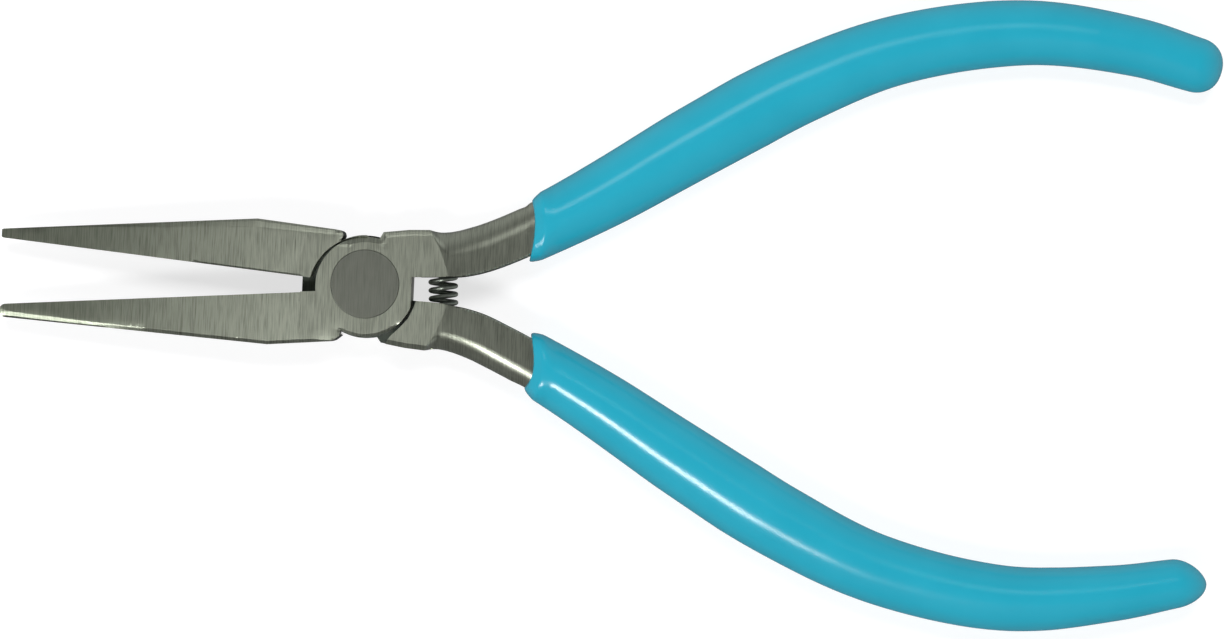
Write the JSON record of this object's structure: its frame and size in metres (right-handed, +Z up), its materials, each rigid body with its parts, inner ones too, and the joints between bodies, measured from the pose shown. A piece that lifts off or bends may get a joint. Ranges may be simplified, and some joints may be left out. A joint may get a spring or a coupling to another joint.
{
  "type": "needle nose pliers",
  "caption": "Spring-opened needle nose pliers with slim tapered steel jaws, a lap joint on a flush rivet, and bowed handles in thick cyan sleeves.",
  "frame": {"origin": "on the rivet's axis at the flush underside of the joint, which is the table that the tool lies on", "axes": "+X along the tool towards the handles, with the jaws towards -X; +Y across it, towards the front half's handle; +Z up out of the table, along the rivet"},
  "size_m": [0.1461, 0.076, 0.0084],
  "materials": {
    "steel": "ground and brushed across the tool",
    "rivet_steel": "ground flush, darker than the halves",
    "spring_steel": "dark oiled spring wire",
    "grip": "smooth dipped vinyl with a soft gloss"
  },
  "bodies": {
    "front": {"front_half": "steel", "pivot_rivet": "rivet_steel", "return_spring": "spring_steel", "front_grip": "grip"},
    "rear": {"rear_half": "steel", "rear_grip": "grip"}
  },
  "joints": [
    {"name": "jaw_pivot", "type": "hinge", "parent": "front", "child": "rear", "pos_m": [0, 0, 0.0042], "axis": [0, 0, 1], "range_deg": [-8, 10.2], "stiffness_Nm_per_rad": 1.8, "deforming": ["return_spring"]}
  ]
}
